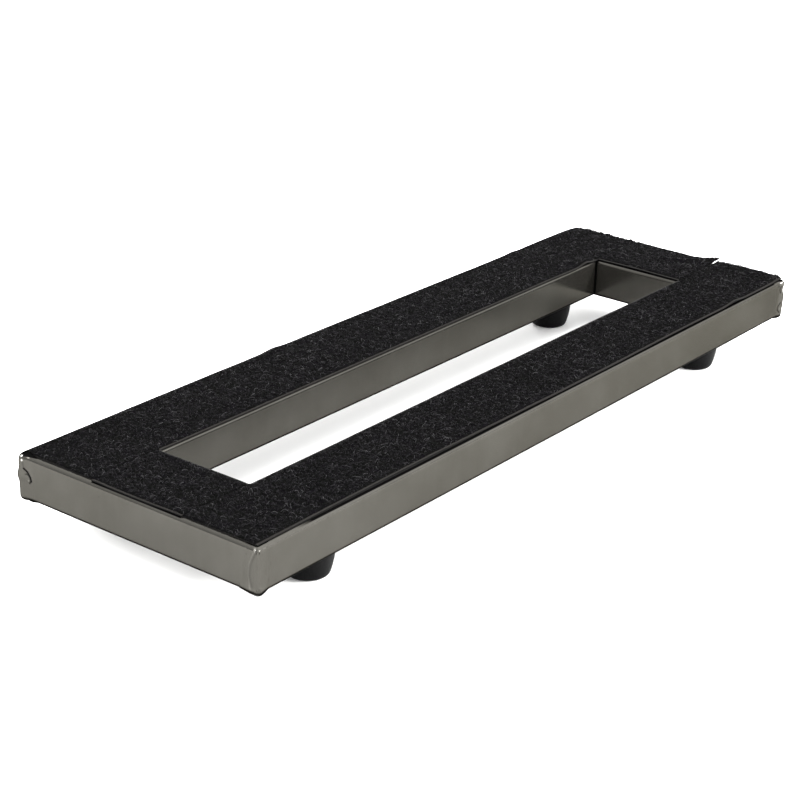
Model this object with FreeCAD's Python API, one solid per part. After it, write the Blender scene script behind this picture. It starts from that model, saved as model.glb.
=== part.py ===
# A compact one-row pedalboard: a flat ring of four mitred and welded rectangular steel
# tubes, covered on top with adhesive loop tape and standing on four tapered rubber feet,
# each held by a washer and a self-tapping screw in the underside of a long tube.
#
# Millimetres. +X runs along the board, +Y from the player's side to the back, +Z up.
# The origin is on the floor, under the middle of the board.

import FreeCAD, Part
import math
import os

V = FreeCAD.Vector
UP = V(0, 0, 1)
ORIGIN = V(0, 0, 0)

# ---- Driving dimensions ----
BOARD_LENGTH = 410.0
BOARD_DEPTH = 130.0
TUBE_WIDTH = 40.0  # the wide side lies flat and carries the tape
TUBE_HEIGHT = 20.0
TUBE_WALL = 1.5
TUBE_CORNER_RADIUS = 2.0  # outside radius of the tube's long edges
FOOT_HEIGHT = 17.0
FOOT_TOP_RADIUS = 11.5
FOOT_BASE_RADIUS = 9.0
FOOT_FROM_END = 52.5  # from the board's end to the foot's axis
TAPE_FILM = 0.2  # adhesive film under the loop tape
TAPE_LOOP = 1.4  # woven backing and its loop pile
TAPE_SEAM = 0.3  # gap between a long strip and an end strip
TAPE_END_INSET = 1.0  # the long strips are cut this much short of the board's ends

# ---- Heights and places that follow ----
TUBE_BOTTOM = FOOT_HEIGHT
TUBE_TOP = TUBE_BOTTOM + TUBE_HEIGHT
FILM_TOP = TUBE_TOP + TAPE_FILM
HALF_LENGTH = BOARD_LENGTH / 2
HALF_DEPTH = BOARD_DEPTH / 2
FOOT_X = HALF_LENGTH - FOOT_FROM_END
FOOT_Y = HALF_DEPTH - TUBE_WIDTH / 2
SLOT_DEPTH = BOARD_DEPTH - 2 * TUBE_WIDTH  # the open slot between the long tubes

# ---- Screw, washer and the foot's hollow ----
SEAT_THICKNESS = 6.0  # rubber between the washer and the tube
RECESS_RADIUS = 5.0
FOOT_HOLE_RADIUS = 2.3
FOOT_BASE_FILLET = 2.6
FOOT_SIDE_BULGE = 0.8
WASHER_OUTER_RADIUS = 4.8
WASHER_HOLE_RADIUS = 2.3
WASHER_THICKNESS = 1.0
WASHER_EDGE = 0.15
SCREW_LENGTH = 13.0  # under the head
SCREW_HEAD_RADIUS = 4.0
SCREW_HEAD_HEIGHT = 3.0
THREAD_CREST_RADIUS = 2.1
THREAD_ROOT_RADIUS = 1.55
THREAD_PITCH = 1.4
THREAD_TIP_LENGTH = 3.0
PLAIN_SHANK = 1.2
TAPPED_HOLE_RADIUS = THREAD_CREST_RADIUS + 0.02
DRIVE_REACH = 2.3  # half the span of the cross recess
DRIVE_SLOT = 1.1
DRIVE_DEPTH = 2.0
DRIVE_FLOOR_RADIUS = 0.9
SEAT_Z = FOOT_HEIGHT - SEAT_THICKNESS
HEAD_BEARING_Z = SEAT_Z - WASHER_THICKNESS

# ---- Weld beads at each mitre ----
CORNER_BEAD_RADIUS = 2.0
CORNER_BEAD_INSET = 1.65  # axis of the upright bead from both outer faces
CORNER_BEAD_MARGIN = 0.9  # bead stops short of the tube's top and bottom
UNDER_BEAD_RADIUS = 2.6
UNDER_BEAD_PROUD = 0.7  # how far the bottom bead stands below the tubes
TOP_WELD_RADIUS = 1.2  # ground flush under the tape
MITRE_MARGIN = 4.0  # plan distance from the tube's edges to a bead's end
BEAD_DEPTH = 1.2  # how deep a bead goes into the wall
OPEN_JOINT_RADIUS = 0.4  # the unwelded joint line at each inner corner of the ring

# (name, sign of x, sign of y) of each corner and foot
CORNERS = [
    ("front_left", -1, -1),
    ("front_right", 1, -1),
    ("rear_left", -1, 1),
    ("rear_right", 1, 1),
]


def box(x_range, y_range, z_range):
    """A box from its lowest to its highest corner."""
    low = V(x_range[0], y_range[0], z_range[0])
    size = [high - start for start, high in (x_range, y_range, z_range)]
    return Part.makeBox(*size, low)


def prism(points, low, high):
    """An upright prism over a plan polygon, between two heights."""
    corners = [V(x, y, low) for x, y in points]
    wire = Part.makePolygon(corners + corners[:1])
    return Part.Face(wire).extrude(UP * (high - low))


def revolved(profile):
    """A full turn about the Z axis of a closed list of edges in the XZ plane."""
    return Part.Face(Part.Wire(profile)).revolve(ORIGIN, UP, 360)


def polyline_edges(points):
    """Straight edges through (radius, height) points."""
    corners = [V(r, 0, z) for r, z in points]
    return [Part.LineSegment(a, b).toShape() for a, b in zip(corners, corners[1:])]


def straight_tube(length, width, height, corner_radius):
    """A solid bar along X with rounded long edges, from y = 0 to y = width."""
    bar = Part.makeBox(length, width, height, V(-length / 2, 0, 0))
    long_edges = [e for e in bar.Edges if abs(e.tangentAt(e.FirstParameter).x) > 0.99]
    return bar.makeFillet(corner_radius, long_edges)


def mitre_plan(outer_length, width):
    """Plan outline of a bar cut at 45 degrees at both ends, long side at y = 0."""
    half = outer_length / 2
    return [(-half, 0), (half, 0), (half - width, width), (-half + width, width)]


def mitred_bar(outer_length, inset):
    """Half of a hollow rail: its outside (inset 0) or its cavity (inset = wall)."""
    radius = TUBE_CORNER_RADIUS - inset
    bar = straight_tube(
        outer_length, TUBE_WIDTH - 2 * inset, TUBE_HEIGHT - 2 * inset, radius
    )
    bar.translate(V(0, inset, inset))
    plan = prism(mitre_plan(outer_length, TUBE_WIDTH), -1, TUBE_HEIGHT + 1)
    return bar.common(plan)


def placed_on_side(shape, quarter_turns):
    """Moves a bar from y = 0 to one side of the board: 0 front, 1 right, 2 rear, 3 left."""
    across = HALF_DEPTH if quarter_turns % 2 == 0 else HALF_LENGTH
    moved = shape.copy()
    moved.translate(V(0, -across, TUBE_BOTTOM))
    moved.rotate(ORIGIN, UP, 90 * quarter_turns)
    return moved


def tube_outside(quarter_turns):
    """One tube as if it were solid."""
    length = BOARD_LENGTH if quarter_turns % 2 == 0 else BOARD_DEPTH
    return placed_on_side(mitred_bar(length, 0), quarter_turns)


def tube_cavity(quarter_turns):
    """The hollow of one tube."""
    length = BOARD_LENGTH if quarter_turns % 2 == 0 else BOARD_DEPTH
    return placed_on_side(mitred_bar(length, TUBE_WALL), quarter_turns)


def along_mitre(sx, sy, distance, z):
    """A point above the mitre line of a corner, by plan distance from both outer faces."""
    return V(sx * (HALF_LENGTH - distance), sy * (HALF_DEPTH - distance), z)


def capsule(start, end, radius):
    """A round bar with round ends."""
    rod = Part.makeCylinder(radius, (end - start).Length, start, end - start)
    ends = [Part.makeSphere(radius, point) for point in (start, end)]
    return rod.fuse(ends).removeSplitter()


def raw_beads(sx, sy):
    """The three weld beads of a corner, before they are trimmed to the wall."""
    upright = capsule(
        along_mitre(sx, sy, CORNER_BEAD_INSET, TUBE_BOTTOM + CORNER_BEAD_RADIUS + CORNER_BEAD_MARGIN),
        along_mitre(sx, sy, CORNER_BEAD_INSET, TUBE_TOP - CORNER_BEAD_RADIUS - CORNER_BEAD_MARGIN),
        CORNER_BEAD_RADIUS,
    )
    under_axis = TUBE_BOTTOM + UNDER_BEAD_RADIUS - UNDER_BEAD_PROUD
    under = capsule(
        along_mitre(sx, sy, MITRE_MARGIN, under_axis),
        along_mitre(sx, sy, TUBE_WIDTH - MITRE_MARGIN, under_axis),
        UNDER_BEAD_RADIUS,
    )
    everything = (-BOARD_LENGTH, BOARD_LENGTH)
    under = under.common(box(everything, everything, (0, TUBE_BOTTOM + BEAD_DEPTH)))
    top = capsule(
        along_mitre(sx, sy, MITRE_MARGIN, TUBE_TOP),
        along_mitre(sx, sy, TUBE_WIDTH - MITRE_MARGIN, TUBE_TOP),
        TOP_WELD_RADIUS,
    )
    top = top.common(box(everything, everything, (TUBE_BOTTOM, TUBE_TOP)))
    return [upright, under, top]


def weld(sx, sy, cavities):
    """The weld metal of one corner: upright, underneath and flush on top."""
    return Part.makeCompound([bead.cut(cavities) for bead in raw_beads(sx, sy)])


def open_joints():
    """The fine upright grooves where two tubes meet at the slot's corners, left unwelded."""
    return [
        Part.makeCylinder(
            OPEN_JOINT_RADIUS,
            TUBE_HEIGHT + 2,
            along_mitre(sx, sy, TUBE_WIDTH, TUBE_BOTTOM - 1),
        )
        for _, sx, sy in CORNERS
    ]


def tapped_holes():
    """The screw holes through the tubes' bottom walls."""
    return [
        Part.makeCylinder(
            TAPPED_HOLE_RADIUS,
            TUBE_WALL + 2,
            V(sx * FOOT_X, sy * FOOT_Y, TUBE_BOTTOM - 1),
        )
        for _, sx, sy in CORNERS
    ]


def rail(quarter_turns, removed):
    """One welded tube of the frame, open where the weld metal and the screws go."""
    hollow = tube_outside(quarter_turns).cut(tube_cavity(quarter_turns))
    return hollow.cut(removed)


def foot():
    """A tapered rubber foot with a deep recess for the screw, standing on z = 0."""
    base_edge = V(FOOT_BASE_RADIUS, 0, 0)
    top_edge = V(FOOT_TOP_RADIUS, 0, FOOT_HEIGHT)
    slope = (top_edge - base_edge).normalize()
    outward = V(slope.z, 0, -slope.x)
    belly = (base_edge + top_edge) * 0.5 + outward * FOOT_SIDE_BULGE
    side = Part.Arc(base_edge, belly, top_edge).toShape()
    rest = polyline_edges(
        [
            (FOOT_TOP_RADIUS, FOOT_HEIGHT),
            (FOOT_HOLE_RADIUS, FOOT_HEIGHT),
            (FOOT_HOLE_RADIUS, SEAT_Z),
            (RECESS_RADIUS, SEAT_Z),
            (RECESS_RADIUS, 0),
            (FOOT_BASE_RADIUS, 0),
        ]
    )
    body = revolved([side] + rest)
    rims = [
        edge
        for edge in body.Edges
        if abs(edge.BoundBox.ZMax) < 1e-6 and edge.BoundBox.XMax > RECESS_RADIUS + 1
    ]
    return body.makeFillet(FOOT_BASE_FILLET, rims)


def washer():
    """A flat steel washer with broken edges, under the rubber seat."""
    ring = Part.makeCylinder(WASHER_OUTER_RADIUS, WASHER_THICKNESS, V(0, 0, HEAD_BEARING_Z))
    hole = Part.makeCylinder(WASHER_HOLE_RADIUS, WASHER_THICKNESS, V(0, 0, HEAD_BEARING_Z))
    rims = [e for e in ring.Edges if abs(e.BoundBox.ZLength) < 1e-6]
    return ring.makeFillet(WASHER_EDGE, rims).cut(hole)


def cross_drive():
    """The tapered cross recess in the screw's head, opening downwards."""
    low = HEAD_BEARING_Z - SCREW_HEAD_HEIGHT
    reach = (-DRIVE_REACH, DRIVE_REACH)
    slot = (-DRIVE_SLOT / 2, DRIVE_SLOT / 2)
    height = (low - 0.1, low + DRIVE_DEPTH)
    cross = box(reach, slot, height).fuse(box(slot, reach, height))
    taper = Part.makeCone(
        DRIVE_REACH, DRIVE_FLOOR_RADIUS, DRIVE_DEPTH + 0.1, V(0, 0, low - 0.1)
    )
    return cross.common(taper)


def screw():
    """A pan-head self-tapping screw, head down, with its thread as rings."""
    head_low = HEAD_BEARING_Z - SCREW_HEAD_HEIGHT
    tip_z = HEAD_BEARING_Z + SCREW_LENGTH
    rim_z = HEAD_BEARING_Z - SCREW_HEAD_HEIGHT * 0.4
    shoulder = V(SCREW_HEAD_RADIUS * 0.8, 0, HEAD_BEARING_Z - SCREW_HEAD_HEIGHT * 0.85)
    crown = Part.Arc(V(0, 0, head_low), shoulder, V(SCREW_HEAD_RADIUS, 0, rim_z)).toShape()
    outline = [
        (SCREW_HEAD_RADIUS, rim_z),
        (SCREW_HEAD_RADIUS, HEAD_BEARING_Z),
        (THREAD_CREST_RADIUS, HEAD_BEARING_Z),
        (THREAD_CREST_RADIUS, HEAD_BEARING_Z + PLAIN_SHANK),
    ]
    thread_top = tip_z - THREAD_TIP_LENGTH
    rings = int((thread_top - HEAD_BEARING_Z - PLAIN_SHANK) / THREAD_PITCH)
    for ring in range(rings):
        start = HEAD_BEARING_Z + PLAIN_SHANK + ring * THREAD_PITCH
        outline.append((THREAD_ROOT_RADIUS, start + THREAD_PITCH * 0.3))
        outline.append((THREAD_ROOT_RADIUS, start + THREAD_PITCH * 0.6))
        outline.append((THREAD_CREST_RADIUS, start + THREAD_PITCH * 0.9))
        outline.append((THREAD_CREST_RADIUS, start + THREAD_PITCH))
    outline.append((0, tip_z))
    outline.append((0, head_low))
    return revolved([crown] + polyline_edges(outline)).cut(cross_drive())


def across_tube(sign, outer_face, side_inset):
    """The two edges of a strip that lies along a tube, inset from the tube's own sides."""
    outer = outer_face - side_inset
    inner = outer_face - TUBE_WIDTH + side_inset
    return sorted([sign * outer, sign * inner])


def long_strip(sy, side_inset, end_inset, low, high):
    """A full-length layer of tape over the front (-1) or rear (+1) tube."""
    half = HALF_LENGTH - end_inset
    return box((-half, half), across_tube(sy, HALF_DEPTH, side_inset), (low, high))


def end_strip(sx, side_inset, end_inset, low, high):
    """A layer of tape over an end tube, between the two long strips."""
    half = SLOT_DEPTH / 2 - end_inset
    return box(across_tube(sx, HALF_LENGTH, side_inset), (-half, half), (low, high))


def tape_layers(strip, sign, end_inset):
    """The film, which holds only on the tube's flat, and the full-width loop tape."""
    film_end = end_inset + TAPE_END_INSET
    film = strip(sign, TUBE_CORNER_RADIUS, film_end, TUBE_TOP, FILM_TOP)
    loop = strip(sign, 0, end_inset, FILM_TOP, FILM_TOP + TAPE_LOOP)
    return film, loop


def all_nodes():
    """Every sub-part by its node name."""
    cavity_parts = [tube_cavity(turns) for turns in range(4)]
    cavities = cavity_parts[0].fuse(cavity_parts[1:])
    beads = [bead for _, sx, sy in CORNERS for bead in raw_beads(sx, sy)]
    removed = beads + open_joints() + tapped_holes()
    nodes = {
        name: rail(turns, removed)
        for turns, name in enumerate(["front_rail", "right_rail", "rear_rail", "left_rail"])
    }
    for name, sx, sy in CORNERS:
        nodes[f"{name}_weld"] = weld(sx, sy, cavities)
        for piece, shape in (("foot", foot()), ("washer", washer()), ("screw", screw())):
            shape.translate(V(sx * FOOT_X, sy * FOOT_Y, 0))
            nodes[f"{name}_{piece}"] = shape
    for name, strip, sign, end_inset in (
        ("front", long_strip, -1, TAPE_END_INSET),
        ("rear", long_strip, 1, TAPE_END_INSET),
        ("left", end_strip, -1, TAPE_SEAM),
        ("right", end_strip, 1, TAPE_SEAM),
    ):
        film, loop = tape_layers(strip, sign, end_inset)
        nodes[f"{name}_adhesive_film"] = film
        nodes[f"{name}_loop_strip"] = loop
    return nodes


def main():
    os.makedirs("parts", exist_ok=True)
    for name, shape in all_nodes().items():
        valid = shape.isValid() and all(s.isClosed() for s in shape.Solids)
        volume = sum(s.Volume for s in shape.Solids)
        print(f"{name}: {len(shape.Solids)} solid(s), {volume:.1f} mm3, valid {valid}")
        shape.exportStep(f"parts/{name}.step")


main()
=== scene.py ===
"""Looks of a compact pedalboard: painted welded steel frame, loop tape and rubber feet.

Everything is in metres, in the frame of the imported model: +X along the board, +Y to its
back, +Z up, with the floor at z = 0. MM turns the millimetres below into metres.
"""

import math

import bmesh
import bpy
import numpy as np
from mathutils import Matrix, Vector


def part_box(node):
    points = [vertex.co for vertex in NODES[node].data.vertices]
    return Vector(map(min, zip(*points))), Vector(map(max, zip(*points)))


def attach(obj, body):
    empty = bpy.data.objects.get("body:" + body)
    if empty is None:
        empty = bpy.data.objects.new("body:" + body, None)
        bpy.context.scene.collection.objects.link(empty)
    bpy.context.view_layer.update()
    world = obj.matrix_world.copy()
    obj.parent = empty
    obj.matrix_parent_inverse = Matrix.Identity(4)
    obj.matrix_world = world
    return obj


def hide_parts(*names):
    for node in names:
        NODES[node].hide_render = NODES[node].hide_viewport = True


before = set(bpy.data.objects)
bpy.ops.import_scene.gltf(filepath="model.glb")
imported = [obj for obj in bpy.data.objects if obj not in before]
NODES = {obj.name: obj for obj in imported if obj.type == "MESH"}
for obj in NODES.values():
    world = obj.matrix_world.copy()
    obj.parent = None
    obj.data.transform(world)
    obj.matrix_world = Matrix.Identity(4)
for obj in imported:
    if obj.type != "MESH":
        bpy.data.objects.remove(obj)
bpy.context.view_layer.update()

MM = 0.001

# ---- What the frame says ----
RAIL_LOW, RAIL_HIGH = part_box("front_rail")
REAR_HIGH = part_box("rear_rail")[1]
TUBE_BOTTOM, TUBE_TOP = RAIL_LOW.z, RAIL_HIGH.z
HALF_LENGTH, HALF_DEPTH = RAIL_HIGH.x, REAR_HIGH.y
TUBE_WIDTH = RAIL_HIGH.y - RAIL_LOW.y
TAPE_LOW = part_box("front_loop_strip")[0].z
TUBE_RADIUS = 2.0 * MM
CORNERS = {
    "front_left": (-1, -1),
    "front_right": (1, -1),
    "rear_left": (-1, 1),
    "rear_right": (1, 1),
}


# ---------------------------------------------------------------- materials

# Where painted shade turns the paint near-black: full at one value and gone at the other, in metres.
UNDERSIDE_SHADE_LINE = (TUBE_BOTTOM + 1.15 * MM, TUBE_BOTTOM + 2.1 * MM)
JOINT_SHADE_LINE = (0.65 * MM, 1.0 * MM)
CAP_TAPE_SHADE_LINE = (TUBE_TOP - 0.14 * MM, TUBE_TOP - 0.05 * MM)
TAPE_SHADE_DEPTH = 0.36 * MM  # how far the painted shade under the tape's edge reaches down from the tape
TAPE_SHADE_FADE = 0.12 * MM
TAPE_SHADE_STARTS = (-182 * MM, -172 * MM)  # along X, clear of the cut ends on the left
SHORT_STRIP_ENDS = (24.5 * MM, 24.8 * MM)  # across Y, where the long edge of the left strip ends
UNDERSIDE_PAINTED_SHADE = (0.007, 0.0065, 0.006)
CREVICE_PAINTED_SHADE = (0.003, 0.003, 0.003)
TAPE_EDGE_PAINTED_SHADE = (0.002, 0.002, 0.002)
BARE_METAL = (0.50, 0.49, 0.46)


class Look:
    """A procedural material: a Principled shader and the nodes that feed it."""

    def __init__(self, name, **sockets):
        self.material = bpy.data.materials.new(name)
        self.material.use_nodes = True
        self.tree = self.material.node_tree
        self.shader = self.tree.nodes["Principled BSDF"]
        self.place = self.tree.nodes.new("ShaderNodeTexCoord").outputs["Object"]
        for socket, value in sockets.items():
            self.shader.inputs[socket.replace("_", " ")].default_value = value

    def scaled(self, stretch):
        """Object coordinates in millimetres, stretched along each axis."""
        node = self.tree.nodes.new("ShaderNodeMapping")
        node.inputs["Scale"].default_value = [s / MM for s in stretch]
        self.tree.links.new(self.place, node.inputs["Vector"])
        return node.outputs["Vector"]

    def noise(self, size, detail=3.0, roughness=0.55, stretch=(1, 1, 1), distortion=0.0):
        """Noise whose blotches are about size millimetres wide."""
        node = self.tree.nodes.new("ShaderNodeTexNoise")
        node.inputs["Scale"].default_value = 1.0 / size
        node.inputs["Detail"].default_value = detail
        node.inputs["Roughness"].default_value = roughness
        node.inputs["Distortion"].default_value = distortion
        self.tree.links.new(self.scaled(stretch), node.inputs["Vector"])
        return node.outputs["Fac"]

    def cells(self, size, stretch=(1, 1, 1)):
        """Distance to the nearest of many scattered points, for specks and pits."""
        node = self.tree.nodes.new("ShaderNodeTexVoronoi")
        node.inputs["Scale"].default_value = 1.0 / size
        self.tree.links.new(self.scaled(stretch), node.inputs["Vector"])
        return node.outputs["Distance"]

    def remap(self, value, low, high, start=0.0, end=1.0):
        """value from low to high becomes start to end, and stays within them."""
        node = self.tree.nodes.new("ShaderNodeMapRange")
        for socket, number in (
            ("From Min", low), ("From Max", high), ("To Min", start), ("To Max", end),
        ):
            node.inputs[socket].default_value = number
        self.tree.links.new(value, node.inputs["Value"])
        return node.outputs["Result"]

    def blend(self, factor, first, second):
        """A colour from first to second; either may be a colour or a node's output."""
        node = self.tree.nodes.new("ShaderNodeMix")
        node.data_type = "RGBA"
        self.tree.links.new(factor, node.inputs[0])
        for socket, value in ((6, first), (7, second)):
            if isinstance(value, bpy.types.NodeSocket):
                self.tree.links.new(value, node.inputs[socket])
            else:
                node.inputs[socket].default_value = (*value, 1.0)
        return node.outputs[2]

    def attribute(self, name):
        """A number that the mesh carries at each point."""
        node = self.tree.nodes.new("ShaderNodeAttribute")
        node.attribute_name = name
        return node.outputs["Fac"]

    def axes(self):
        """Object coordinates in metres, one output for each axis."""
        node = self.tree.nodes.new("ShaderNodeSeparateXYZ")
        self.tree.links.new(self.place, node.inputs[0])
        return node.outputs

    def height(self):
        """Height over the floor, in metres."""
        return self.axes()["Z"]

    def maths(self, operation, first, second=None):
        """A math node's output; each input is a node's output or a number."""
        node = self.tree.nodes.new("ShaderNodeMath")
        node.operation = operation
        for socket, value in zip(node.inputs, (first, second)):
            if isinstance(value, bpy.types.NodeSocket):
                self.tree.links.new(value, socket)
            elif value is not None:
                socket.default_value = value
        return node.outputs[0]

    def from_joints(self):
        """Distance from the four upright joint lines at the slot's corners, in metres."""
        axes = self.axes()
        squares = []
        for axis, place in (("X", HALF_LENGTH), ("Y", HALF_DEPTH)):
            away = self.maths("ABSOLUTE", axes[axis])
            away = self.maths("SUBTRACT", away, place - TUBE_WIDTH)
            squares.append(self.maths("POWER", self.maths("ABSOLUTE", away), 2.0))
        return self.maths("SQRT", self.maths("ADD", *squares))

    def beside_tape(self):
        """1 where a long edge of tape runs above, 0 by the cut ends on the left."""
        x, y, _ = self.axes()
        along_x = self.remap(x, *TAPE_SHADE_STARTS)
        along_y = self.remap(self.maths("ABSOLUTE", y), *SHORT_STRIP_ENDS, 1, 0)
        return self.maths("MAXIMUM", along_x, along_y)

    def drive(self, socket, output):
        """Feeds a shader socket from a node."""
        self.tree.links.new(output, self.shader.inputs[socket])

    def bump(self, *layers):
        """Stacks (height output, depth in millimetres) layers of bump."""
        normal = None
        for height, depth in layers:
            node = self.tree.nodes.new("ShaderNodeBump")
            node.inputs["Strength"].default_value = 1.0
            node.inputs["Distance"].default_value = depth * MM
            self.tree.links.new(height, node.inputs["Height"])
            if normal is not None:
                self.tree.links.new(normal, node.inputs["Normal"])
            normal = node.outputs["Normal"]
        self.drive("Normal", normal)


def painted_steel(name, lumps=0.0, marked=False):
    """Warm gunmetal metallic paint, sprayed thin over drawn tube, with near-black painted shade
    along the lower edges, open joints and tape edges.

    lumps is extra bump, in mm. marked is for the welds, whose meshes say at each point
    how far the paint is rubbed bare (above 0) or painted dark as shade (below 0).
    """
    look = Look(name, IOR=1.5, Specular_IOR_Level=0.2)
    look.shader.inputs["Specular Tint"].default_value = (0.30, 0.30, 0.29, 1.0)
    clouds = look.noise(34, 3.0, 0.6)
    streaks = look.noise(2.6, 2.0, 0.5, stretch=(1, 1, 0.10))
    flake = look.noise(0.35, 2.0, 0.7)
    base = look.blend(
        look.remap(clouds, 0.35, 0.65), (0.0375, 0.0358, 0.0316), (0.0450, 0.0432, 0.0386)
    )
    base = look.blend(look.remap(streaks, 0.50, 0.75, 0, 0.16), base, (0.053, 0.051, 0.046))
    base = look.blend(look.remap(flake, 0.56, 0.80, 0, 0.20), base, (0.077, 0.074, 0.066))
    specks = look.remap(look.cells(9.0), 0.035, 0.05, 0.5, 0.0)
    base = look.blend(specks, base, (0.018, 0.017, 0.014))
    roughness = look.remap(clouds, 0.3, 0.7, 0.13, 0.21)
    height = look.height()
    # Painted shade: the paint goes near-black along the tubes' lower edge, where the rounding would
    # show the shaded floor under the board.
    underneath = look.remap(height, *UNDERSIDE_SHADE_LINE, 1, 0)
    base = look.blend(underneath, base, UNDERSIDE_PAINTED_SHADE)
    if marked:
        # The weld meshes carry rubbed-bare metal above 0 and painted shade in creases and pits below
        # 0.
        wear_and_shade = look.attribute("wear_and_shade")
        crevice = look.remap(wear_and_shade, -1.0, 0.0, 1.0, 0.0)
        bare = look.remap(wear_and_shade, 0.0, 1.0)
        base = look.blend(bare, base, BARE_METAL)
        # Painted shade just under the tape's edge, kept off the bare metal.
        tape_edge_shade = look.maths("SUBTRACT", look.remap(height, *CAP_TAPE_SHADE_LINE), bare)
    else:
        # Painted shade: near-black along the open upright joints at the slot's corners.
        crevice = look.remap(look.from_joints(), *JOINT_SHADE_LINE, 1.0, 0.0)
        # Painted shade: a near-black band just under the tape's long edges, for the shadow in the
        # gap beneath them.
        under_tape = look.remap(height, TUBE_TOP - TAPE_SHADE_DEPTH - TAPE_SHADE_FADE, TUBE_TOP - TAPE_SHADE_DEPTH)
        tape_edge_shade = look.maths("MULTIPLY", under_tape, look.beside_tape())
    # Painted shade: near-black in the open joints, and in the welds' creases and pits.
    base = look.blend(crevice, base, CREVICE_PAINTED_SHADE)
    base = look.blend(tape_edge_shade, base, TAPE_EDGE_PAINTED_SHADE)
    # All the painted shade together; there the paint turns fully metallic and rougher so it stays
    # dark.
    dark = look.maths("MAXIMUM", look.maths("MAXIMUM", underneath, crevice), tape_edge_shade)
    least_roughness = look.remap(dark, 0, 1, 0, 0.5)
    look.drive("Base Color", base)
    look.drive("Metallic", look.remap(dark, 0.0, 1.0, 0.8, 1.0))
    look.drive("Roughness", look.maths("MAXIMUM", roughness, least_roughness))
    look.bump(
        (look.noise(2.6, 2.0, 0.5), 0.010 + lumps),
        (streaks, 0.004),
        (flake, 0.003),
    )
    return look.material


def black_rubber():
    """Moulded black rubber with a faint bloom and fine grain."""
    look = Look("black_rubber", Specular_IOR_Level=0.055)
    bloom = look.noise(7.0, 3.0, 0.6)
    look.drive(
        "Base Color",
        look.blend(look.remap(bloom, 0.35, 0.7), (0.0008, 0.0008, 0.0009), (0.0022, 0.0022, 0.0024)),
    )
    look.drive("Roughness", look.remap(bloom, 0.3, 0.7, 0.42, 0.58))
    look.bump((look.noise(0.5, 2.0, 0.6), 0.012), (look.noise(3.5, 1.0, 0.5), 0.03))
    return look.material


def zinc_steel():
    """Bright zinc plate with a slight mottle."""
    look = Look("zinc_steel", Metallic=1.0)
    mottle = look.noise(1.4, 3.0, 0.6)
    look.drive(
        "Base Color",
        look.blend(look.remap(mottle, 0.3, 0.7), (0.50, 0.50, 0.47), (0.68, 0.68, 0.66)),
    )
    look.drive("Roughness", look.remap(mottle, 0.3, 0.7, 0.22, 0.42))
    look.bump((look.noise(0.6, 2.0, 0.5), 0.01))
    return look.material


def adhesive():
    """Dark pressure-sensitive adhesive, seen only at its edges."""
    look = Look("adhesive_film", Specular_IOR_Level=0.05)
    smear = look.noise(1.2, 2.0, 0.5)
    look.drive(
        "Base Color",
        look.blend(look.remap(smear, 0.3, 0.7), (0.0020, 0.0020, 0.0020), (0.0060, 0.0058, 0.0054)),
    )
    look.drive("Roughness", look.remap(smear, 0.3, 0.7, 0.65, 0.9))
    look.bump((smear, 0.02))
    return look.material


def woven_backing():
    """The tape's black woven base, whose heat-set selvedge is painted lighter on top as a sheen."""
    look = Look("woven_backing", Specular_IOR_Level=0.03)
    picks = look.noise(0.45, 2.0, 0.6)
    woven = look.blend(
        look.remap(picks, 0.35, 0.7), (0.0015, 0.0015, 0.0015), (0.0040, 0.0040, 0.0040)
    )
    # Painted sheen: the selvedge's top faces take this lighter colour.
    selvedge_sheen = look.blend(
        look.remap(picks, 0.3, 0.7), (0.0045, 0.0042, 0.0037), (0.0100, 0.0094, 0.0085)
    )
    look.drive("Base Color", look.blend(look.attribute("selvedge"), woven, selvedge_sheen))
    look.drive("Roughness", look.remap(picks, 0.3, 0.7, 0.60, 0.80))
    look.bump((picks, 0.05))
    return look.material


def napped_pile():
    """The bed of fine black loops under the curls that stand out."""
    look = Look("napped_pile", Specular_IOR_Level=0.01)
    curls = look.noise(0.75, 3.0, 0.65, distortion=0.8)
    tint = look.noise(4.0, 2.0, 0.5)
    base = look.blend(
        look.remap(tint, 0.35, 0.65), (0.0012, 0.0013, 0.0011), (0.0013, 0.0011, 0.0016)
    )
    # Painted highlight: the curl noise that raises the bump also lightens the colour, so curl tops
    # look lit.
    curl_top_highlight = look.remap(curls, 0.50, 0.72, 0, 0.8)
    look.drive("Base Color", look.blend(curl_top_highlight, base, (0.0025, 0.0025, 0.0026)))
    look.drive("Roughness", look.remap(curls, 0.3, 0.7, 0.7, 0.95))
    look.bump((curls, 0.25))
    return look.material


def nylon_loop(name, colour, roughness, shine):
    """One batch of the nylon loops; batches differ a little in tone and shine."""
    look = Look(name, Specular_IOR_Level=shine)
    look.shader.inputs["Base Color"].default_value = (*colour, 1.0)
    look.shader.inputs["Roughness"].default_value = roughness
    return look.material


# ------------------------------------------------------------------- meshes


def new_piece(name, points, faces, material):
    """A flat-shaded mesh object at the origin, from points and faces."""
    mesh = bpy.data.meshes.new(name)
    mesh.from_pydata(points, [], faces)
    mesh.materials.append(material)
    mesh.update()
    piece = bpy.data.objects.new(name, mesh)
    bpy.context.scene.collection.objects.link(piece)
    return piece


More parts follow.
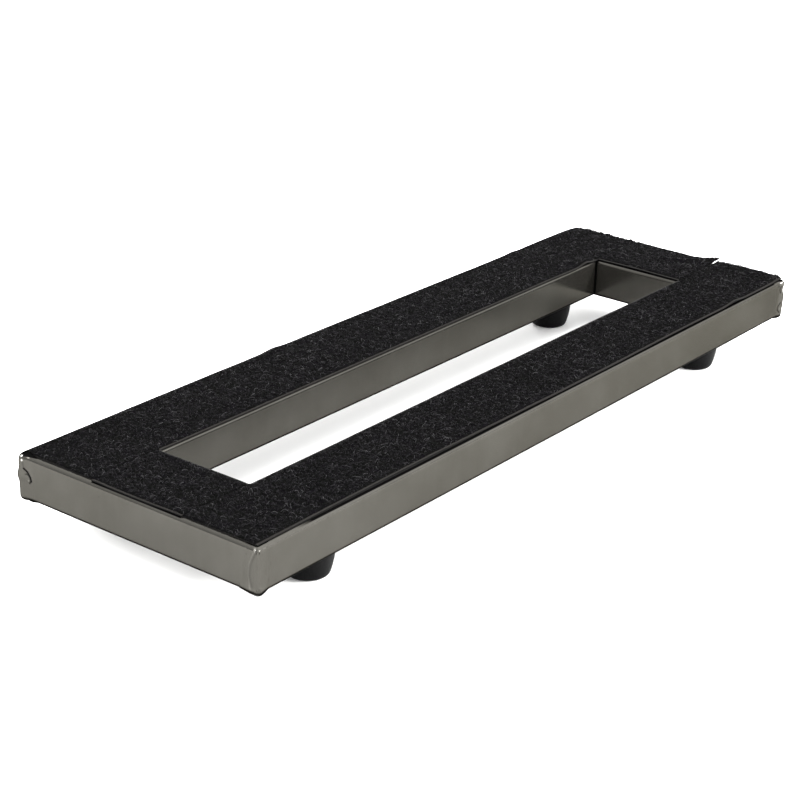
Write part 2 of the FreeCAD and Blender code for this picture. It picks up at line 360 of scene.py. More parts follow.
def fast_piece(name, points, polygons, material):
    """Smooth-shaded, from large arrays: polygons is a list of (n, k) index arrays."""
    mesh = bpy.data.meshes.new(name)
    mesh.vertices.add(len(points))
    mesh.vertices.foreach_set("co", points.astype(np.float32).ravel())
    corners = np.concatenate([p.ravel() for p in polygons])
    sizes = np.concatenate([np.full(len(p), p.shape[1]) for p in polygons])
    starts = np.concatenate([[0], np.cumsum(sizes)[:-1]])
    mesh.loops.add(len(corners))
    mesh.loops.foreach_set("vertex_index", corners.astype(np.int32))
    mesh.polygons.add(len(sizes))
    mesh.polygons.foreach_set("loop_start", starts.astype(np.int32))
    mesh.polygons.foreach_set("use_smooth", np.ones(len(sizes), bool))
    mesh.materials.append(material)
    mesh.update(calc_edges=True)
    mesh.validate()
    piece = bpy.data.objects.new(name, mesh)
    bpy.context.scene.collection.objects.link(piece)
    return piece


def grid_faces(rows, columns, flip=False):
    """Quads of a rows by columns grid of points."""
    index = np.arange(rows * columns).reshape(rows, columns)
    quads = np.stack(
        [index[:-1, :-1], index[1:, :-1], index[1:, 1:], index[:-1, 1:]], axis=-1
    ).reshape(-1, 4)
    return quads[:, ::-1] if flip else quads


def rim_of_grid(rows, columns):
    """Point indices round a grid's border, in order."""
    index = np.arange(rows * columns).reshape(rows, columns)
    return np.concatenate(
        [index[:-1, 0], index[-1, :-1], index[:0:-1, -1], index[0, :0:-1]]
    )


def closed_from_two_sheets(top, under):
    """Points and quads of a closed skin from two equal grids, top and under."""
    rows, columns = top.shape[:2]
    count = rows * columns
    points = np.concatenate([top.reshape(-1, 3), under.reshape(-1, 3)])
    rim = rim_of_grid(rows, columns)
    after = np.roll(rim, -1)
    wall = np.stack([rim, rim + count, after + count, after], axis=-1)
    quads = np.concatenate(
        [grid_faces(rows, columns), grid_faces(rows, columns, True) + count, wall]
    )
    return points, quads


def smoothstep(low, high, value):
    """0 below low, 1 above high, smooth between them."""
    t = np.clip((value - low) / (high - low), 0, 1)
    return t * t * (3 - 2 * t)


def wave_noise(x, y, size, seed):
    """Smooth random heights from -1 to 1 over a plane, about size wide each."""
    rng = np.random.default_rng(seed)
    table = rng.uniform(-1, 1, (256, 256))
    u, v = x / size, y / size
    i, j = np.floor(u).astype(int), np.floor(v).astype(int)
    fu, fv = u - i, v - j
    fu, fv = fu * fu * (3 - 2 * fu), fv * fv * (3 - 2 * fv)
    a = table[i % 256, j % 256] * (1 - fu) + table[(i + 1) % 256, j % 256] * fu
    b = table[i % 256, (j + 1) % 256] * (1 - fu) + table[(i + 1) % 256, (j + 1) % 256] * fu
    return a * (1 - fv) + b * fv


# --------------------------------------------------------------- loop tape

BACKING_THICKNESS = 0.60 * MM
SELVEDGE_RADIUS = 0.30 * MM
PILE_FROM_EDGE = 1.15 * MM
SEAM_MARGIN = 0.25 * MM
PILE_BED = 0.45 * MM  # mean height of the bed of loops over the backing
PILE_CELL = 0.43 * MM
CURL_SIDES = 3
CURL_STATIONS = 6
CURLS_PER_PIECE = 6000
CURLS_PER_MM2 = 1.45
CURL_LENGTH = (0.8, 2.1)  # mm, as are the radius and rise of each batch below
CURL_BEND = 2.6  # radians either way, from one end of a curl to the other
CURL_ROOT = 0.20 * MM  # how deep a curl's two ends go into the bed
CUT_END_EXTRA = 1.4  # how much taller curls stand where the tape was cut
STRAYS_PER_MM2 = 0.035
STRAY_SEED = 99
STRAY_RADIUS = 0.055
STRAY_RISE = (0.25, 1.0)
STRAY_LENGTH = (1.5, 4.5)
LOOP_BATCHES = (  # name, colour, roughness, shine, radius, rise
    ("black", (0.0016, 0.0018, 0.0016), 0.60, 0.01, 0.12, (0.05, 0.35)),
    ("charcoal", (0.0031, 0.0030, 0.0031), 0.55, 0.02, 0.12, (0.10, 0.45)),
    ("grey", (0.0080, 0.0075, 0.0085), 0.50, 0.03, 0.11, (0.15, 0.50)),
)


class Strip:
    """One strip of tape. along is its long direction: 0 for X, 1 for Y.

    Its places are (s, t): s metres along the strip and t metres across it, in the
    row frame. edges gives the two long edges at each s, and lift how far the strip has
    come up off the frame there.
    """

    def __init__(self, name, along, span, across, wander, lifts, droop, seed):
        self.name, self.along, self.seed = name, along, seed
        self.droop = [v * MM for v in droop]
        self.span = [v * MM for v in span]
        self.across = [v * MM for v in across]
        self.wander = wander
        self.lifts = lifts

    def edges(self, s):
        """The two long edges' places across the strip, at each s."""
        out = []
        for side, place in enumerate(self.across):
            drift = 0.12 * MM * wave_noise(s, 0 * s + side * 0.7, 23 * MM, self.seed)
            for where, width, amount in self.wander[side]:
                drift = drift + amount * MM * np.exp(-(((s - where * MM) / (width * MM)) ** 2))
            out.append(place + drift)
        return out

    def margins(self, s):
        """Bare selvedge between each long edge and the pile, none where strips abut."""
        bare = np.full(s.shape, PILE_FROM_EDGE)
        if self.along == 1:
            return bare, bare
        abutting = smoothstep(-0.4 * MM, 0.4 * MM, np.abs(s) - (HALF_LENGTH - TUBE_WIDTH))
        inner = bare + (SEAM_MARGIN - bare) * abutting
        return (bare, inner) if self.name == "front" else (inner, bare)

    def lift(self, s, t):
        """How far the tape stands above where it was laid."""
        height = 0.02 * MM * wave_noise(s, t, 9 * MM, self.seed + 1)
        for where, reach_s, edge, reach_t, amount in self.lifts:
            along_it = np.exp(-(((s - where * MM) / (reach_s * MM)) ** 2))
            from_edge = np.abs(t - edge * MM) / (reach_t * MM)
            height = height + amount * MM * along_it * np.exp(-(from_edge**2))
        low, high = self.edges(s)
        for droop, inside in zip(self.droop, (t - low, high - t)):
            height = height - droop * (1 - smoothstep(0, 2.6 * MM, inside))
        return height

    def placed(self, s, t, z):
        """Points of the row frame."""
        parts = (s, t, z) if self.along == 0 else (t, s, z)
        return np.stack(np.broadcast_arrays(*parts), axis=-1)

    def bed_height(self, s, t):
        """Top of the bed of loops, which is lower at the edges."""
        low, high = self.edges(s)
        low_margin, high_margin = self.margins(s)
        past_margin = np.minimum(t - low - low_margin, high - high_margin - t)
        in_from_end = np.minimum(s - self.span[0], self.span[1] - s)
        shoulder = 0.30 + 0.70 * smoothstep(0, 0.8 * MM, past_margin)
        shoulder = shoulder * (0.70 + 0.30 * smoothstep(0, 0.8 * MM, in_from_end))
        fine = wave_noise(s, t, 0.62 * MM, self.seed + 2)
        mid = wave_noise(s, t, 1.3 * MM, self.seed + 3)
        broad = wave_noise(s, t, 6.0 * MM, self.seed + 4)
        bed = PILE_BED * (1 + 0.50 * fine + 0.50 * mid + 0.10 * broad)
        return TAPE_LOW + BACKING_THICKNESS + self.lift(s, t) + bed * shoulder


def backing_section():
    """Outline across the woven base: (share across, offset out, height) per point."""
    half = BACKING_THICKNESS / 2
    turns = np.linspace(-math.pi / 2, math.pi / 2, 7)
    right = [
        (1.0, SELVEDGE_RADIUS * (math.cos(a) - 1), half + SELVEDGE_RADIUS * math.sin(a))
        for a in turns
    ]
    top = [(share, 0.0, BACKING_THICKNESS) for share in np.linspace(0.97, 0.03, 18)]
    left = [(0.0, -o, z) for _, o, z in reversed(right)]
    under = [(share, 0.0, 0.0) for share in np.linspace(0.03, 0.97, 18)]
    return np.array(right + top + left + under)


def make_backing(strip, material):
    """The woven base of a strip, as one closed cloth with rounded selvedges."""
    section = backing_section()
    count = int((strip.span[1] - strip.span[0]) / (1.0 * MM)) + 1
    s = np.linspace(*strip.span, count)[:, None]
    low, high = strip.edges(s)
    t = low + (high - low) * section[None, :, 0] + section[None, :, 1]
    fray = 0.10 * MM * wave_noise(t, 0 * t, 0.9 * MM, strip.seed + 7)
    ends = np.zeros((count, 1))
    ends[0], ends[-1] = -1, 1
    z = TAPE_LOW + section[None, :, 2] + strip.lift(s, t)
    points = strip.placed(s + fray * ends, t, z)
    rows, columns = points.shape[:2]
    index = np.arange(rows * columns).reshape(rows, columns)
    following = np.roll(index, -1, axis=1)
    quads = np.stack(
        [index[:-1], index[1:], following[1:], following[:-1]], axis=-1
    ).reshape(-1, 4)
    faces = [quads, index[:1, ::-1], index[-1:]]
    if strip.along == 0:
        faces = [f[:, ::-1] for f in faces]
    piece = fast_piece(f"{strip.name}_tape_backing", points.reshape(-1, 3), faces, material)
    # Painted sheen: only the selvedge's top faces are marked lighter and its rounded sides stay
    # dark; edges that abut another strip get none.
    upper = section[:, 2] > 0.8 * BACKING_THICKNESS
    layer = piece.data.attributes.new("selvedge", "FLOAT", "POINT")
    inner = (section[:, 0] > 0.5) == (strip.name == "front")
    open_run = np.abs(s) < HALF_LENGTH - TUBE_WIDTH
    selvedge_sheen = upper & (open_run | ~inner | (strip.along == 1))
    layer.data.foreach_set("value", selvedge_sheen.astype(np.float32).ravel())
    return piece


def make_bed(strip, material):
    """The bed of loops, a closed lumpy mat that stands on the woven base."""
    length = strip.span[1] - strip.span[0]
    rows = int(length / PILE_CELL) + 1
    columns = int(TUBE_WIDTH / PILE_CELL) + 1
    s = np.linspace(*strip.span, rows)[:, None] + np.zeros((1, columns))
    low, high = strip.edges(s)
    share = np.linspace(0, 1, columns)[None, :]
    low_margin, high_margin = strip.margins(s)
    t = low + low_margin + (high - low - low_margin - high_margin) * share
    jitter = 0.16 * MM
    s_top = s + jitter * wave_noise(s, t, 0.8 * MM, strip.seed + 5)
    t_top = t + jitter * wave_noise(s, t, 0.8 * MM, strip.seed + 6)
    top = strip.placed(s_top, t_top, strip.bed_height(s, t)).reshape(-1, 3)
    rim = rim_of_grid(rows, columns)
    foot = top[rim].copy()
    foot[:, 2] = (TAPE_LOW + BACKING_THICKNESS * 0.7 + strip.lift(s, t)).reshape(-1)[rim]
    base = len(top) + np.arange(len(rim))
    after, base_after = np.roll(rim, -1), np.roll(base, -1)
    wall = np.stack([rim, base, base_after, after], axis=-1)
    sheets = [grid_faces(rows, columns), wall, base[None, :]]
    if strip.along == 1:
        sheets = [f[:, ::-1] for f in sheets]
    return fast_piece(f"{strip.name}_tape_bed", np.concatenate([top, foot]), sheets, material)


def make_curls(strip, piece_name, seed, count, material, radius, rise, length):
    """Loops of yarn that stand out of the bed, each a closed curved tube."""
    rng = np.random.default_rng(strip.seed * 100 + seed)
    stations = np.linspace(0, 1, CURL_STATIONS)[None, :]
    s0 = rng.uniform(strip.span[0] - 0.1 * MM, strip.span[1] + 0.1 * MM, count)
    low, high = strip.edges(s0)
    low_margin, high_margin = strip.margins(s0)
    low, high = low + low_margin, high - high_margin
    t0 = low + (high - low) * rng.uniform(0, 1, count)
    span = rng.uniform(*length, count) * MM
    heading = rng.uniform(0, 2 * math.pi, count)[:, None]
    bend = rng.uniform(-CURL_BEND, CURL_BEND, count)[:, None]
    angle = heading + bend * (stations - 0.5)
    step = span[:, None] / (CURL_STATIONS - 1)
    ds = np.cumsum(np.cos(angle) * step, axis=1)
    dt = np.cumsum(np.sin(angle) * step, axis=1)
    s = s0[:, None] + ds - ds.mean(1, keepdims=True)
    t = t0[:, None] + dt - dt.mean(1, keepdims=True)
    t = np.clip(t, low[:, None], high[:, None])
    arch = np.sin(math.pi * stations)
    edge = np.minimum(t0 - low, high - t0)
    upright = 0.3 + 0.7 * smoothstep(0, 2.0 * MM, edge)
    up = (rng.uniform(*rise, count) * upright)[:, None] * MM
    if strip.name != "left":
        from_cut = high - t0 if strip.along == 1 else strip.span[1] - s0
        up *= 1 + CUT_END_EXTRA * (1 - smoothstep(0.2 * MM, 2.0 * MM, from_cut))[:, None]
    z = strip.bed_height(s, t) + up * arch - CURL_ROOT * (1 - arch)
    line = strip.placed(s, t, z)
    along = np.gradient(line, axis=1)
    along /= np.linalg.norm(along, axis=2, keepdims=True)
    side = np.cross(along, [0, 0, 1])
    side /= np.linalg.norm(side, axis=2, keepdims=True)
    normal = np.cross(side, along)
    thick = (radius * rng.uniform(0.75, 1.25, count) * MM)[:, None, None, None]
    turn = np.arange(CURL_SIDES) * 2 * math.pi / CURL_SIDES
    ring = line[:, :, None] + thick * (
        side[:, :, None] * np.cos(turn)[:, None] + normal[:, :, None] * np.sin(turn)[:, None]
    )
    index = np.arange(count * CURL_STATIONS * CURL_SIDES)
    index = index.reshape(count, CURL_STATIONS, CURL_SIDES)
    beside = np.roll(index, -1, axis=2)
    quads = np.stack(
        [index[:, :-1], beside[:, :-1], beside[:, 1:], index[:, 1:]], axis=-1
    ).reshape(-1, 4)
    caps = np.concatenate([index[:, 0, ::-1], index[:, -1]])
    return fast_piece(piece_name, ring.reshape(-1, 3), [quads, caps], material)


def make_tape(strip, looks):
    """A whole strip of loop tape: woven base, bed of loops and the curls on it."""
    backing = make_backing(strip, looks["backing"])
    bed = make_bed(strip, looks["bed"])
    area = (strip.span[1] - strip.span[0]) * TUBE_WIDTH / MM**2
    wanted = int(area * CURLS_PER_MM2)
    batches = max(3, math.ceil(wanted / CURLS_PER_PIECE))
    pieces = [bed]
    for number in range(batches):
        tone, radius, rise = looks["loops"][number % 3]
        name = f"{strip.name}_tape_loops_{number}"
        count = wanted // batches
        pieces.append(
            make_curls(strip, name, number, count, tone, radius, rise, CURL_LENGTH)
        )
    pieces.append(
        make_curls(
            strip, f"{strip.name}_tape_strays", STRAY_SEED, int(area * STRAYS_PER_MM2),
            looks["strays"], STRAY_RADIUS, STRAY_RISE, STRAY_LENGTH,
        )
    )
    for piece in [backing, *pieces]:
        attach(piece, "root")
    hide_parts(f"{strip.name}_loop_strip")


# The last four things said of each strip: how its two long edges wander, as (place along,
# width, amount); where it has lifted, as (place along, reach along, edge, reach across,
# height); how far each long edge droops over the tube's rounded rim; and its seed. All mm.
STRIPS = [
    Strip("front", 0, (-203.4, 205.0), (-63.9, -25.0),
          [[(-120, 75, 1.3), (105, 40, 0.4)], [(60, 120, 0.3)]],
          [(156, 6.5, -64, 3.5, 0.95), (120, 22, -64, 3, 0.15), (-30, 30, -25, 3, 0.15),
           (206, 9, -48, 20, 0.85)],
          (0.1, 0.1), 11),
    Strip("rear", 0, (-202.7, 204.2), (24.6, 64.9),
          [[(150, 14, -0.5)], [(180, 30, 0.3), (143, 8, -0.5)]],
          [(154, 5, 25.2, 3.5, 1.25), (168, 30, 64, 6, 0.1), (20, 50, 25, 3, 0.12),
           (-40, 140, 65, 3.0, 0.55), (205, 6, 65, 5, -0.5),
           (-50, 6, 66, 4, 0.75), (142, 5, 66, 4, 0.75)],
          (0.2, 0.0), 23),
    Strip("left", 1, (-24.95, 24.5), (-204.1, -165.2),
          [[(0, 18, -0.25)], [(0, 18, 0.1)]],
          [(-20, 8, -205, 3.0, 0.25), (22, 5, -205, 4.0, 0.25)],
          (0.15, 0.1), 37),
    Strip("right", 1, (-25.1, 24.5), (165.6, 205.2),
          [[(4, 16, 0.3)], [(-26, 5.5, 3.0)]],
          [(-25, 7.5, 206, 9, 1.5), (2, 15, 166, 3, 0.2)],
          (0.0, 0.0), 53),
]


# ------------------------------------------------------------- weld corners


class Corner:
    """Maps (u, v) onto the frame's skin near one corner.

    u runs along the outside, in metres from the corner: negative on the end face and
    positive on the long face. v runs down the tube's outside from its top edge.
    """

    EDGE_ROUND = 1.3 * MM

    def __init__(self, name):
        self.sx, self.sy = CORNERS[name]
        arc = TUBE_RADIUS * math.pi / 2
        self.flat = (TUBE_TOP - TUBE_BOTTOM) - 2 * TUBE_RADIUS
        self.arc = arc
        self.length = 2 * arc + self.flat

    def profile(self, v):
        """Inward offset, height and the outward and upward parts of the normal."""
        top = np.clip(v / self.arc, 0, 1) * math.pi / 2
        low = np.clip((v - self.arc - self.flat) / self.arc, 0, 1) * math.pi / 2
        middle = np.clip(v - self.arc, 0, self.flat)
        inward = TUBE_RADIUS * (1 - np.sin(top)) + TUBE_RADIUS * (1 - np.cos(low))
        height = TUBE_TOP - TUBE_RADIUS * (1 - np.cos(top)) - middle - TUBE_RADIUS * np.sin(low)
        return inward, height, np.sin(top) * np.cos(low), np.cos(top) - np.sin(low)

    def point(self, u, v, proud):
        """A point standing proud metres off the frame's skin."""
        inward, height, out, up = self.profile(v)
        radius = self.EDGE_ROUND
        quarter = radius * math.pi / 4
        turn = np.clip(u / quarter, -1, 1) * math.pi / 4 + math.pi / 4
        beyond = np.maximum(np.abs(u) - quarter, 0)
        from_end = inward + radius - radius * np.cos(turn) + np.where(u > 0, beyond, 0)
        from_side = inward + radius - radius * np.sin(turn) + np.where(u < 0, beyond, 0)
        from_end = from_end - proud * out * np.cos(turn)
        from_side = from_side - proud * out * np.sin(turn)
        x = self.sx * (HALF_LENGTH - from_end)
        y = self.sy * (HALF_DEPTH - from_side)
        return np.stack([x, y, height + proud * up], axis=-1)


CAP_CELL = 0.22 * MM
CAP_HALF_WIDTH = 9.0 * MM
CAP_DEPTH = 1.3 * MM
CAP_REACH = 6.6 * MM
SUNK = 0.14 * MM
FILLER = 0.05 * MM
# What welding and grinding left at each corner, in mm of (u, v). Strokes are
# ((u, v), ...) lines with a width, a height and a tone; drops are (u, v, radius, height,
# tone). Tones add up: -1 or less is a crease or pit painted near-black as shade, and 1 or
# more is bare bright metal.
WELDS = {
    "front_left": {
        "strokes": [
            (((-1.7, 3.6), (-3.9, 9.0), (-4.2, 13.5), (-3.4, 18.8)), 0.50, 0.15, 0.05),
            (((-1.0, 3.6), (-3.4, 9.2), (-3.7, 13.5), (-2.6, 18.0)), 0.40, 0.0, -0.30),
            (((-0.9, 1.6), (-0.9, 3.2)), 0.40, 0.06, 0.12),
        ],
        "drops": [
            (-1.3, 2.0, 0.6, 0.15, 0.12), (0.0, 3.1, 0.60, 0.14, -2.4),
            (0.4, 20.4, 2.2, 0.30, 0),
            (-6.0, 22.1, 4.5, 0.50, 0),
            (2.0, 21.8, 2.9, 0.75, 0), (-2.2, 22.0, 2.2, 0.35, 0),
        ],
        "seed": 3,
    },
    "rear_left": {
        "strokes": [
            (((0.0, 0.5), (0.0, 8.0)), 3.4, 1.45, 0),
            (((0.0, 11.5), (0.0, 19.0)), 3.0, 1.30, 0),
            (((-2.6, 6.4), (-4.2, 7.8), (-5.6, 9.7), (-5.9, 11.4)), 0.40, 0.0, -1.3),
            (((-5.9, 11.4), (-4.9, 12.6)), 0.36, 0.0, -0.9),
            (((-2.2, 3.8), (-2.4, 5.8)), 0.30, 0.0, -0.4),
        ],
        "drops": [
            (-4.1, 10.2, 1.7, 0.45, 0), (-2.4, 6.6, 0.45, 0.20, 0.28),
            (-4.9, 11.6, 0.5, 0.10, 0.15), (-0.6, 14.5, 1.6, 0.10, 0),
            (-4.0, 21.9, 1.4, 0.50, 0),
            (-0.9, 1.85, 0.30, 0.15, 1.8), (-1.7, 2.85, 0.28, 0.15, 1.6),
        ],
        "seed": 8,
    },
    "front_right": {
        "strokes": [
            (((0.0, 1.0), (0.0, 10.0)), 2.2, 0.55, 0),
            (((0.0, 10.0), (0.0, 20.0)), 2.2, 0.85, 0),
            (((2.4, 3.8), (3.2, 5.6), (2.4, 7.4)), 0.34, 0.0, -0.8),
            (((2.0, 12.8), (3.4, 14.4), (3.6, 16.6), (2.2, 18.2)), 0.36, 0.0, -0.8),
        ],
        "drops": [
            (2.2, 2.4, 1.2, 0.12, 0.04), (4.6, 3.2, 0.6, 0.05, -0.5),
            (2.2, 16.2, 0.9, 0.15, 0.03),
            (0.4, 2.6, 2.0, 0.55, 0), (0.4, 14.0, 2.2, 0.35, 0),
            (1.6, 21.2, 1.8, 0.40, 0),
        ],
        "seed": 14,
    },
    "rear_right": {
        "strokes": [
            (((0.0, 2.0), (0.0, 19.0)), 2.2, 0.45, 0),
            (((-3.0, 4.4), (-4.0, 9.0), (-3.6, 13.0)), 0.50, 0.20, 0.1),
            (((3.6, 3.4), (4.4, 7.0), (3.4, 9.6)), 0.36, 0.0, -0.7),
        ],
        "drops": [
            (1.8, 3.0, 0.6, 0.25, 0.3), (0.1, 9.0, 1.6, 0.30, 0), (1.4, 21.4, 1.6, 0.40, 0),
            (-2.4, 17.0, 0.6, 0.25, 0),
        ],
        "seed": 21,
    },
}


def from_line(u, v, corners):
    """Distance from each (u, v) to a line through corners given in mm."""
    nearest = np.full(u.shape, 1.0)
    for (u0, v0), (u1, v1) in zip(corners[:-1], corners[1:]):
        du, dv = (u1 - u0) * MM, (v1 - v0) * MM
        pu, pv = u - u0 * MM, v - v0 * MM
        share = np.clip((pu * du + pv * dv) / (du**2 + dv**2), 0, 1)
        nearest = np.minimum(nearest, np.hypot(pu - share * du, pv - share * dv))
    return nearest


def weld_surface(u, v, weld):
    """How proud the ground weld stands at each (u, v), and where it is bare or painted as shade."""
    seed = weld["seed"]
    ragged = 0.8 * MM * wave_noise(v, 0 * v, 4.5 * MM, seed)
    inside = CAP_REACH + ragged - np.abs(u)
    cover = smoothstep(-1.8 * MM, 1.2 * MM, inside)
    coarse = 0.05 * MM * wave_noise(u, v, 2.6 * MM, seed + 2)
    fine = 0.02 * MM * wave_noise(u, v, 0.7 * MM, seed + 3)
    height = -SUNK + (SUNK + FILLER + coarse + fine) * cover
    wear_and_shade = np.zeros(u.shape)
    for corners, width, tall, tone in weld["strokes"]:
        near = np.exp(-((from_line(u, v, corners) / (width * MM)) ** 2))
        height = height + tall * MM * near
        wear_and_shade = wear_and_shade + tone * near
    for du, dv, radius, tall, tone in weld["drops"]:
        away = ((u - du * MM) ** 2 + (v - dv * MM) ** 2) / (radius * MM) ** 2
        near = np.exp(-(away**1.5))
        height = height + tall * MM * near
        wear_and_shade = wear_and_shade + tone * near
    return height, np.clip(wear_and_shade, -1, 1)


def cap_sheets(corner, weld):
    """The skin of the upright weld, the sheet behind it, and where the skin is bare or painted as
    shade.
    """
    columns = int(2 * CAP_HALF_WIDTH / CAP_CELL)
    u = np.linspace(-CAP_HALF_WIDTH, CAP_HALF_WIDTH, columns)[:, None]
    v = np.linspace(0, corner.length, int(corner.length / CAP_CELL))[None, :]
    u, v = np.broadcast_arrays(u, v)
    height, wear_and_shade = weld_surface(u, v, weld)
    skin = corner.point(u, v, height)
    back = corner.point(u, v, np.full(u.shape, -CAP_DEPTH))
    return skin, back, wear_and_shade


def bead_sheets(corner, underside, seed):
    """A bead along the mitre: rippled underneath, ground flush on top."""
    half_width = (2.5 if underside else 1.15) * MM
    proud = (0.75 if underside else 0.0) * MM
    start, stop = 2.2 * MM, TUBE_WIDTH - 2.4 * MM
    s = np.linspace(start, stop, 190)[:, None]
    t = np.linspace(-1, 1, 25)[None, :]
    wobble = 0.35 * MM * wave_noise(s, 0 * s, 4 * MM, seed)
    taper = smoothstep(0, 1.6 * MM, s - start) * smoothstep(0, 1.6 * MM, stop - s)
    ripple = 1 + 0.22 * np.cos(2 * math.pi * (s / (0.95 * MM) + 0.35 * t**2))
    crown = np.sqrt(np.clip(1 - t**2, 0, 1))
    tall = proud * crown * ripple * taper - 0.1 * MM * (1 - crown)
    away = (t * half_width * (0.6 + 0.4 * taper) + wobble) / math.sqrt(2)
    from_end, from_side = s + away, s - away
    face = TUBE_BOTTOM if underside else TUBE_TOP
    sign = -1 if underside else 1
    x = corner.sx * (HALF_LENGTH - from_end)
    y = corner.sy * (HALF_DEPTH - from_side)
    shown = np.stack([x, y, face + sign * tall], axis=-1)
    hidden = np.stack([x, y, face - sign * (0.15 + 0.95 * crown + 0 * s) * MM], axis=-1)
    return shown, hidden, np.zeros(tall.shape)


def outward_normals(piece):
    """Turns every closed shell's faces outwards."""
    mesh = bmesh.new()
    mesh.from_mesh(piece.data)
    bmesh.ops.recalc_face_normals(mesh, faces=mesh.faces)
    mesh.to_mesh(piece.data)
    mesh.free()


def make_weld(name, material):
    """All the weld metal of one corner, in place of its plain CAD beads."""
    corner, weld = Corner(name), WELDS[name]
    points, quads, wear_and_shade, count = [], [], [], 0
    sheets = [
        (cap_sheets(corner, weld), 1),
        (bead_sheets(corner, True, weld["seed"] + 5), -1),
        (bead_sheets(corner, False, weld["seed"] + 6), 1),
    ]
    mirrored = corner.sx * corner.sy
    for (shown, hidden, tones), sign in sheets:
        p, q = closed_from_two_sheets(shown, hidden)
        wear_and_shade += [tones.ravel(), np.zeros(tones.size)]
        q = q if sign * mirrored > 0 else q[:, ::-1]
        points.append(p)
        quads.append(q + count)
        count += len(p)
    piece = fast_piece(f"{name}_weld_bead", np.concatenate(points), quads, material)
    # Per point: bare metal above 0, painted shade in creases and pits below 0.
    layer = piece.data.attributes.new("wear_and_shade", "FLOAT", "POINT")
    layer.data.foreach_set("value", np.concatenate(wear_and_shade).astype(np.float32))
    outward_normals(piece)
    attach(piece, "root")
    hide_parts(f"{name}_weld")


# ------------------------------------------------------- stage, light, camera

FLOOR_HALF = 30.0
ROOM_STRENGTH = 2.8
ROOM_LEVELS = (  # a direction, two shares of it, and the room's level at each share
    ((0.85, -0.53, 0.0), -1.0, 1.0, 0.49, 1.50),
    ((0.0, 0.0, 1.0), 0.0, 0.70, 0.75, 1.50),
)
LAMPS = (  # name, place, target, side, watts
    ("overhead", (0.0, -0.26, 1.25), (0.0, 0.0, 0.0), 0.35, 6),
    ("front", (0.40, -1.06, 0.41), (0.10, -0.03, 0.0), 0.12, 24),
    ("left", (-0.85, 0.10, 0.60), (-0.25, 0.0, 0.0), 0.4, 9),
    ("back_right", (0.62, 0.80, 0.45), (0.0, 0.0, 0.0), 0.35, 7),
)
CAMERA_TARGET = Vector((-17.85, 13.59, 17.0)) * MM
CAMERA_AZIMUTH = math.radians(-52.56)
CAMERA_ELEVATION = math.radians(22.72)
CAMERA_ROLL = math.radians(1.72)
CAMERA_DISTANCE = 0.94728
CAMERA_LENS = 91.476
SENSOR_WIDTH = 36.0

# The CAD parts that aren't painted steel, by the end of their names.
OTHER_LOOKS = {
    "_foot": "rubber",
    "_adhesive_film": "adhesive",
    "_washer": "zinc",
    "_screw": "zinc",
}


def paint_cad_nodes(looks):
    """Gives the CAD parts that stay their procedural materials."""
    for name, node in NODES.items():
        kinds = [kind for ending, kind in OTHER_LOOKS.items() if name.endswith(ending)]
        look = looks[kinds[0] if kinds else "steel"]
        for slot in node.material_slots:
            slot.material = look


def make_stage():
    """A plain near-white floor."""
    half = FLOOR_HALF
    points = [(-half, -half, 0), (half, -half, 0), (half, half, 0), (-half, half, 0)]
    look = Look("floor", Roughness=1.0, Specular_IOR_Level=0.0, Emission_Strength=0.05)
    look.shader.inputs["Emission Color"].default_value = (1.0, 1.0, 0.985, 1.0)
    tone = look.noise(400.0, 1.0, 0.5)
    look.drive("Base Color", look.blend(tone, (0.89, 0.89, 0.88), (0.91, 0.91, 0.90)))
    floor = new_piece("floor", points, [(0, 1, 2, 3)], look.material)


def area_light(name, place, target, size, watts):
    """A square soft box at place, aimed at target, all in metres."""
    lamp = bpy.data.lights.new(name, "AREA")
    lamp.shape, lamp.size, lamp.energy = "SQUARE", size, watts
    light = bpy.data.objects.new(name, lamp)
    light.location = place
    direction = Vector(place) - Vector(target)
    light.rotation_euler = direction.to_track_quat("Z", "Y").to_euler()
    bpy.context.scene.collection.objects.link(light)


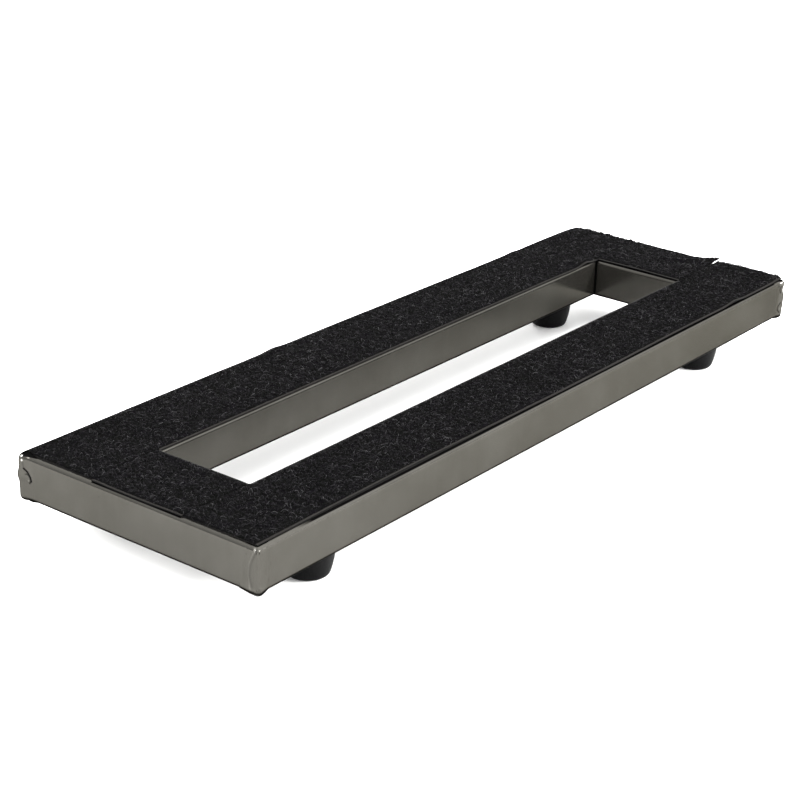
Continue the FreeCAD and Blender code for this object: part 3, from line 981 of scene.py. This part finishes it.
def make_light():
    """A white room, brighter overhead and to the front right, and its soft boxes."""
    world = bpy.data.worlds.new("room")
    world.use_nodes = True
    tree = world.node_tree
    place = tree.nodes.new("ShaderNodeTexCoord").outputs["Generated"]
    factors = []
    for direction, low, high, level_low, level_high in ROOM_LEVELS:
        facing = tree.nodes.new("ShaderNodeVectorMath")
        facing.operation = "DOT_PRODUCT"
        facing.inputs[1].default_value = direction
        tree.links.new(place, facing.inputs[0])
        level = tree.nodes.new("ShaderNodeMapRange")
        sockets = ("From Min", "From Max", "To Min", "To Max")
        for socket, number in zip(sockets, (low, high, level_low, level_high)):
            level.inputs[socket].default_value = number
        tree.links.new(facing.outputs["Value"], level.inputs["Value"])
        factors.append(level.outputs["Result"])
    product = tree.nodes.new("ShaderNodeMath")
    product.operation = "MULTIPLY"
    for socket, factor in zip(product.inputs, factors):
        tree.links.new(factor, socket)
    sky = tree.nodes["Background"]
    tree.links.new(product.outputs[0], sky.inputs["Color"])
    sky.inputs["Strength"].default_value = ROOM_STRENGTH
    bpy.context.scene.world = world
    for lamp in LAMPS:
        area_light(*lamp)


def make_camera():
    """The camera at the board's front left, a little above it."""
    back = Vector((
        math.sin(CAMERA_AZIMUTH) * math.cos(CAMERA_ELEVATION),
        -math.cos(CAMERA_AZIMUTH) * math.cos(CAMERA_ELEVATION),
        math.sin(CAMERA_ELEVATION),
    ))
    level = (-back).cross(Vector((0, 0, 1))).normalized()
    upright = level.cross(-back)
    right = level * math.cos(CAMERA_ROLL) + upright * math.sin(CAMERA_ROLL)
    up = upright * math.cos(CAMERA_ROLL) - level * math.sin(CAMERA_ROLL)
    lens = bpy.data.cameras.new("camera")
    lens.lens = CAMERA_LENS
    lens.sensor_width = SENSOR_WIDTH
    lens.clip_start = 0.01
    camera = bpy.data.objects.new("camera", lens)
    turn = Matrix((right, up, back)).transposed().to_4x4()
    camera.matrix_world = Matrix.Translation(CAMERA_TARGET + back * CAMERA_DISTANCE) @ turn
    bpy.context.scene.collection.objects.link(camera)
    bpy.context.scene.camera = camera
    bpy.context.scene.view_settings.view_transform = "Standard"


def main():
    """The camera, the room, the board's paint, its tape and its welds."""
    make_camera()
    make_light()
    make_stage()
    steel = painted_steel("painted_steel")
    paint_cad_nodes({
        "steel": steel, "rubber": black_rubber(), "zinc": zinc_steel(), "adhesive": adhesive(),
    })
    tape_looks = {"backing": woven_backing(), "bed": napped_pile(), "loops": []}
    for tone, colour, roughness, shine, radius, rise in LOOP_BATCHES:
        yarn = nylon_loop(f"nylon_loop_{tone}", colour, roughness, shine)
        tape_looks["loops"].append((yarn, radius, rise))
    tape_looks["strays"] = nylon_loop("nylon_stray", (0.031, 0.030, 0.032), 0.45, 0.14)
    for strip in STRIPS:
        make_tape(strip, tape_looks)
    weld_look = painted_steel("painted_weld", 0.012, marked=True)
    for name in CORNERS:
        make_weld(name, weld_look)


main()
